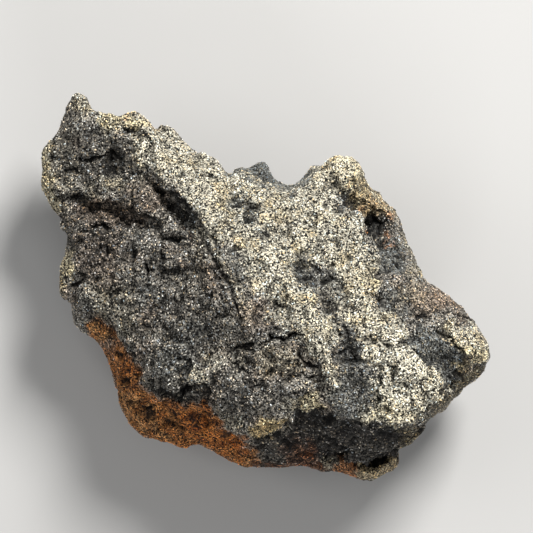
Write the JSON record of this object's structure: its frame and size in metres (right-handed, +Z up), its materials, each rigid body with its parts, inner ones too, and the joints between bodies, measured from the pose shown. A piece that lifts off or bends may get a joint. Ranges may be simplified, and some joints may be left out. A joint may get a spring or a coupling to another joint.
{
  "type": "nickelskutterudite specimen",
  "caption": "Rough wedge-shaped hand specimen of massive granular metallic ore, with a diagonal ridge, broken hollows and a rusty lower edge, lying on its back.",
  "frame": {"origin": "on the resting plane, under the middle of the stone's bounding box", "axes": "+Z up out of the broken face, +X along the stone's longest extent towards its right tip, +Y towards its top edge"},
  "size_m": [0.0896, 0.077, 0.0402],
  "materials": {
    "ore": "granular metallic ore, silver to pale brass grains in dark grey, rusty along one edge"
  },
  "bodies": {
    "root": {"nickelskutterudite": "ore"}
  },
  "joints": []
}
